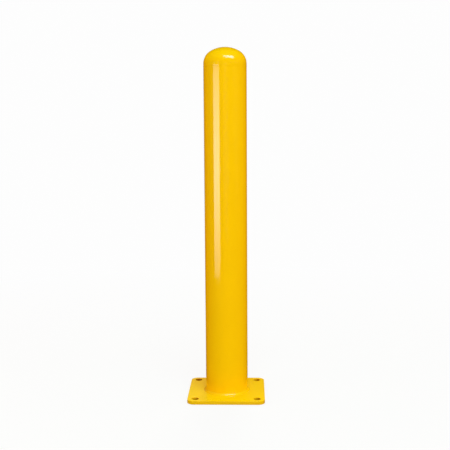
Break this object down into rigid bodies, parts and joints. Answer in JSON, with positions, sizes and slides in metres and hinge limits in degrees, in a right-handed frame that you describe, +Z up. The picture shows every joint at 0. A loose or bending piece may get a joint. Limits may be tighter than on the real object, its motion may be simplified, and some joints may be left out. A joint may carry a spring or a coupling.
{
  "type": "safety bollard",
  "caption": "Bolt-down safety bollard: a round steel pipe post with a welded domed cap on a square base plate with an anchor hole near each corner, powder coated yellow.",
  "frame": {"origin": "middle of the base plate's underside, on the axis of the post, at floor level", "axes": "+Z up along the post; X and Y along the sides of the square base plate"},
  "size_m": [0.207, 0.207, 0.9377],
  "materials": {
    "powder_coat": "glossy safety-yellow powder coat on mild steel, new and clean"
  },
  "bodies": {
    "root": {"base_plate": "powder_coat", "post_tube": "powder_coat", "foot_weld": "powder_coat", "dome_cap": "powder_coat", "cap_weld": "powder_coat"}
  },
  "joints": []
}
